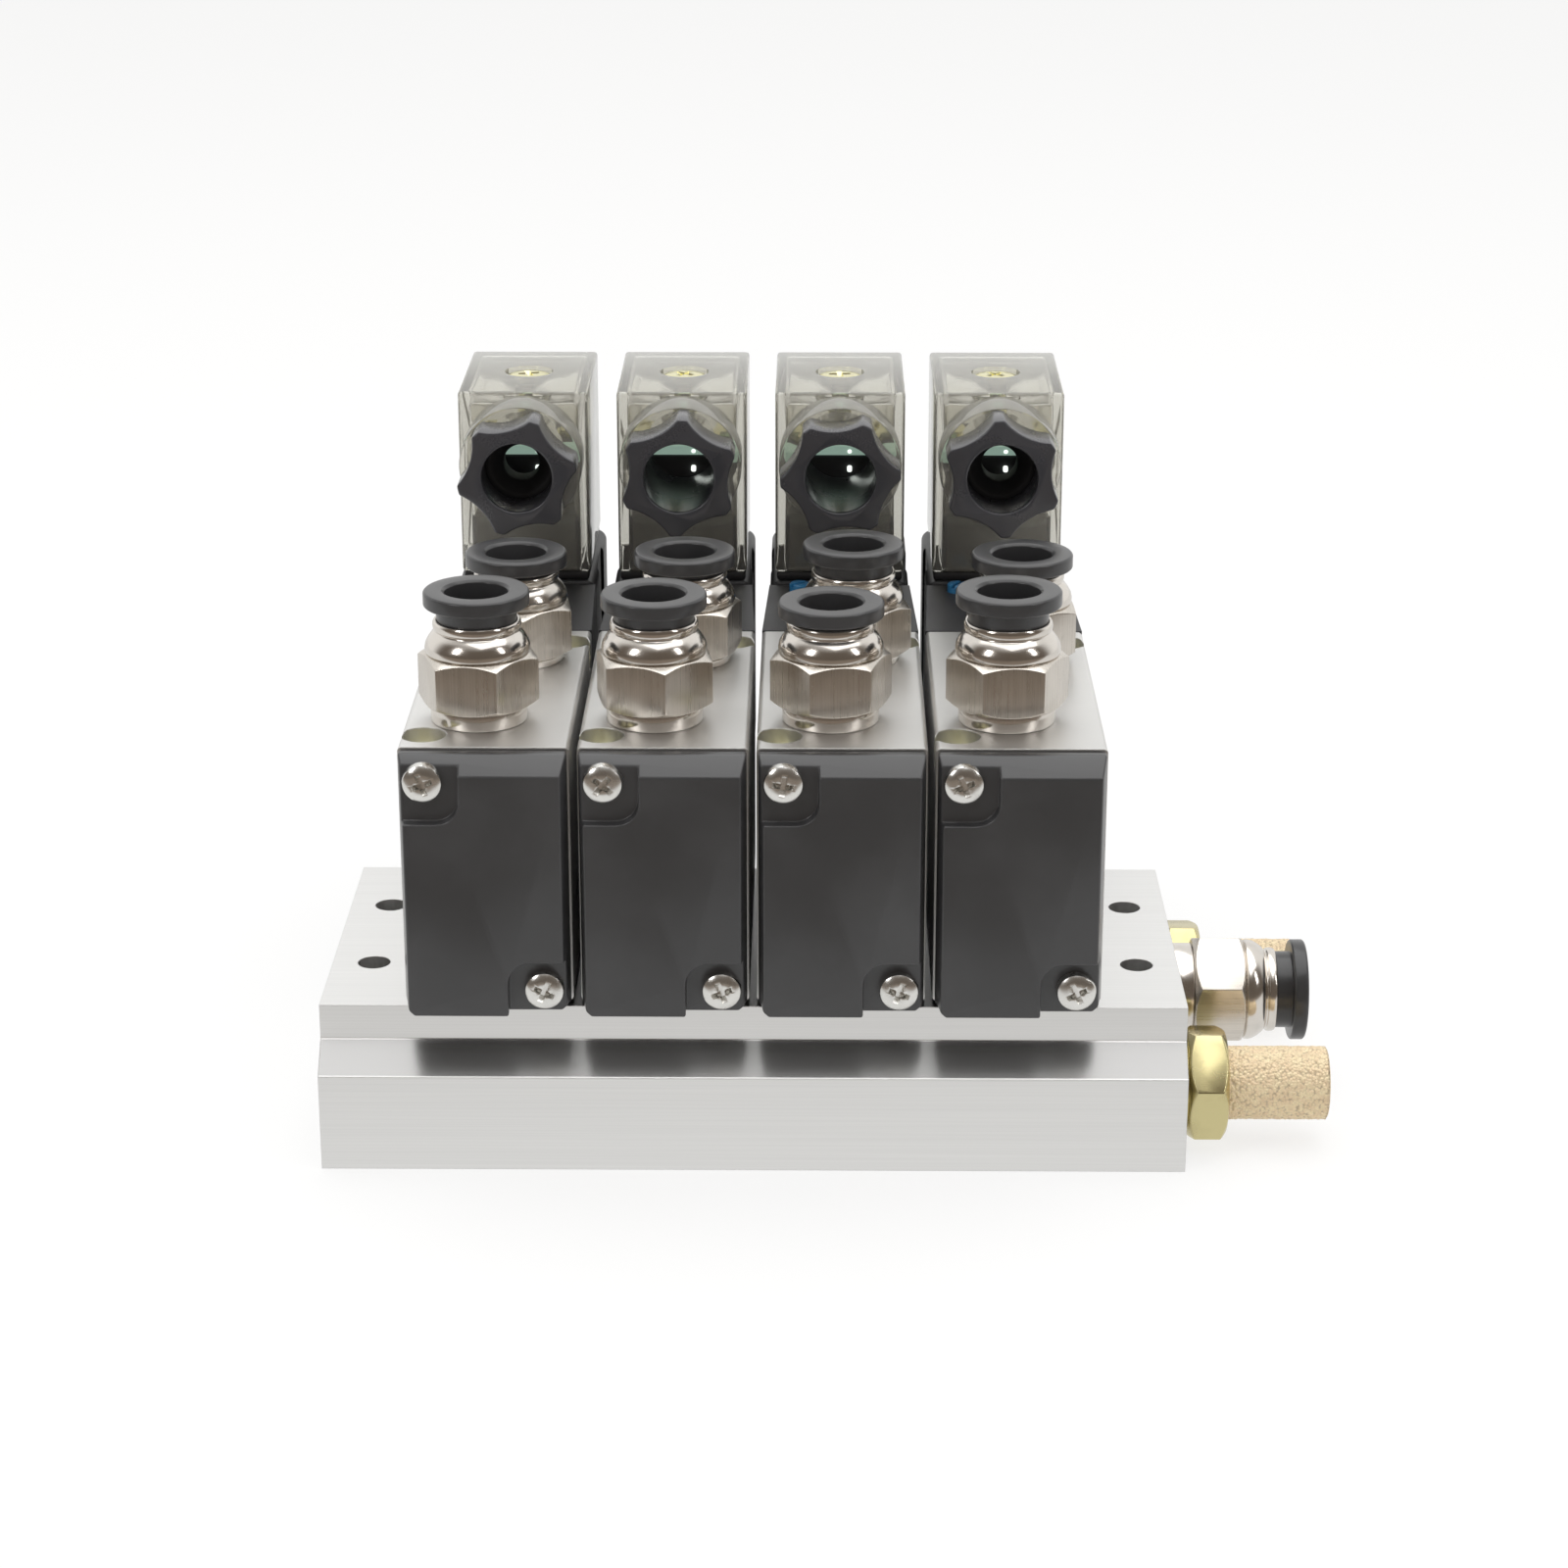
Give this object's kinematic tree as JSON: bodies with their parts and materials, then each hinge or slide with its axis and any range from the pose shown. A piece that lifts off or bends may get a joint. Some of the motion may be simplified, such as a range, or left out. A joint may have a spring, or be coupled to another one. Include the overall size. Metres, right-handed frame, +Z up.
{
  "type": "pneumatic valve island",
  "caption": "Row of solenoid valves on an aluminium manifold bar, with push-in tube fittings on top, plug connectors at the rear and exhaust silencers at one end.",
  "frame": {"origin": "centre of the manifold bar's underside", "axes": "+X along the bar towards its supply port, +Y towards the coils, +Z up"},
  "size_m": [0.1335, 0.1133, 0.0858],
  "materials": {
    "bar_aluminium": "brushed along its length",
    "body_aluminium": "satin",
    "black_moulding": "satin",
    "nickel": "nickel plated",
    "ring_plastic": "satin",
    "clear_plastic": "clear, slightly smoky moulding",
    "override_blue": "gloss",
    "spool_steel": "ground",
    "screw_zinc": "bright zinc",
    "screw_yellow": "yellow zinc",
    "silencer_brass": "machined head, sintered element",
    "gasket_rubber": "matt",
    "gland_plastic": "satin"
  },
  "bodies": {
    "island": {"manifold": "bar_aluminium", "station_gaskets": "gasket_rubber", "inlet_fitting": "nickel", "silencer_front": "silencer_brass", "silencer_rear": "silencer_brass", "port_plugs": "screw_zinc", "mounting_screws": "screw_yellow", "cap_screws": "screw_zinc", "connector_screws": "screw_yellow", "coil_nuts": "black_moulding", "gland_nuts": "gland_plastic", "valve_body_1": "body_aluminium", "end_cap_1": "black_moulding", "pilot_body_1": "black_moulding", "coil_1": "black_moulding", "connector_housing_1": "clear_plastic", "connector_insert_1": "black_moulding", "fitting_a_1": "nickel", "fitting_b_1": "nickel", "valve_body_2": "body_aluminium", "end_cap_2": "black_moulding", "pilot_body_2": "black_moulding", "coil_2": "black_moulding", "connector_housing_2": "clear_plastic", "connector_insert_2": "black_moulding", "fitting_a_2": "nickel", "fitting_b_2": "nickel", "valve_body_3": "body_aluminium", "end_cap_3": "black_moulding", "pilot_body_3": "black_moulding", "coil_3": "black_moulding", "connector_housing_3": "clear_plastic", "connector_insert_3": "black_moulding", "fitting_a_3": "nickel", "fitting_b_3": "nickel", "valve_body_4": "body_aluminium", "end_cap_4": "black_moulding", "pilot_body_4": "black_moulding", "coil_4": "black_moulding", "connector_housing_4": "clear_plastic", "connector_insert_4": "black_moulding", "fitting_a_4": "nickel", "fitting_b_4": "nickel"},
    "ring_a_1": {"ring_a_1": "ring_plastic"},
    "ring_b_1": {"ring_b_1": "ring_plastic"},
    "override_button_1": {"override_button_1": "override_blue"},
    "spool_1": {"spool_1": "spool_steel"},
    "ring_a_2": {"ring_a_2": "ring_plastic"},
    "ring_b_2": {"ring_b_2": "ring_plastic"},
    "override_button_2": {"override_button_2": "override_blue"},
    "spool_2": {"spool_2": "spool_steel"},
    "ring_a_3": {"ring_a_3": "ring_plastic"},
    "ring_b_3": {"ring_b_3": "ring_plastic"},
    "override_button_3": {"override_button_3": "override_blue"},
    "spool_3": {"spool_3": "spool_steel"},
    "ring_a_4": {"ring_a_4": "ring_plastic"},
    "ring_b_4": {"ring_b_4": "ring_plastic"},
    "override_button_4": {"override_button_4": "override_blue"},
    "spool_4": {"spool_4": "spool_steel"},
    "inlet_ring": {"inlet_ring": "ring_plastic"}
  },
  "joints": [
    {"name": "ring_a_1_slide", "type": "slide", "parent": "island", "child": "ring_a_1", "axis": [0, 0, 1], "range_m": [-0.0016, 0.0002]},
    {"name": "ring_b_1_slide", "type": "slide", "parent": "island", "child": "ring_b_1", "axis": [0, 0, 1], "range_m": [-0.0003, 0.0015]},
    {"name": "override_1_press", "type": "slide", "parent": "island", "child": "override_button_1", "axis": [0, 0, -1], "range_m": [0, 0.0015], "stiffness_N_per_m": 400, "springref_m": -0.001},
    {"name": "spool_1_shift", "type": "slide", "parent": "island", "child": "spool_1", "axis": [0, -1, 0], "range_m": [0, 0.0035], "stiffness_N_per_m": 800, "springref_m": -0.004},
    {"name": "ring_a_2_slide", "type": "slide", "parent": "island", "child": "ring_a_2", "axis": [0, 0, 1], "range_m": [-0.0013, 0.0005]},
    {"name": "ring_b_2_slide", "type": "slide", "parent": "island", "child": "ring_b_2", "axis": [0, 0, 1], "range_m": [-0.0005, 0.0013]},
    {"name": "override_2_press", "type": "slide", "parent": "island", "child": "override_button_2", "axis": [0, 0, -1], "range_m": [0, 0.0015], "stiffness_N_per_m": 400, "springref_m": -0.001},
    {"name": "spool_2_shift", "type": "slide", "parent": "island", "child": "spool_2", "axis": [0, -1, 0], "range_m": [0, 0.0035], "stiffness_N_per_m": 800, "springref_m": -0.004},
    {"name": "ring_a_3_slide", "type": "slide", "parent": "island", "child": "ring_a_3", "axis": [0, 0, 1], "range_m": [-0.00023, 0.00157]},
    {"name": "ring_b_3_slide", "type": "slide", "parent": "island", "child": "ring_b_3", "axis": [0, 0, 1], "range_m": [-0.00155, 0.00025]},
    {"name": "override_3_press", "type": "slide", "parent": "island", "child": "override_button_3", "axis": [0, 0, -1], "range_m": [0, 0.0015], "stiffness_N_per_m": 400, "springref_m": -0.001},
    {"name": "spool_3_shift", "type": "slide", "parent": "island", "child": "spool_3", "axis": [0, -1, 0], "range_m": [0, 0.0035], "stiffness_N_per_m": 800, "springref_m": -0.004},
    {"name": "ring_a_4_slide", "type": "slide", "parent": "island", "child": "ring_a_4", "axis": [0, 0, 1], "range_m": [-0.0018, 0]},
    {"name": "ring_b_4_slide", "type": "slide", "parent": "island", "child": "ring_b_4", "axis": [0, 0, 1], "range_m": [-0.00024, 0.00156]},
    {"name": "override_4_press", "type": "slide", "parent": "island", "child": "override_button_4", "axis": [0, 0, -1], "range_m": [0, 0.0015], "stiffness_N_per_m": 400, "springref_m": -0.001},
    {"name": "spool_4_shift", "type": "slide", "parent": "island", "child": "spool_4", "axis": [0, -1, 0], "range_m": [0, 0.0035], "stiffness_N_per_m": 800, "springref_m": -0.004},
    {"name": "inlet_ring_slide", "type": "slide", "parent": "island", "child": "inlet_ring", "axis": [1, 0, 0], "range_m": [-0.0018, 0]}
  ]
}
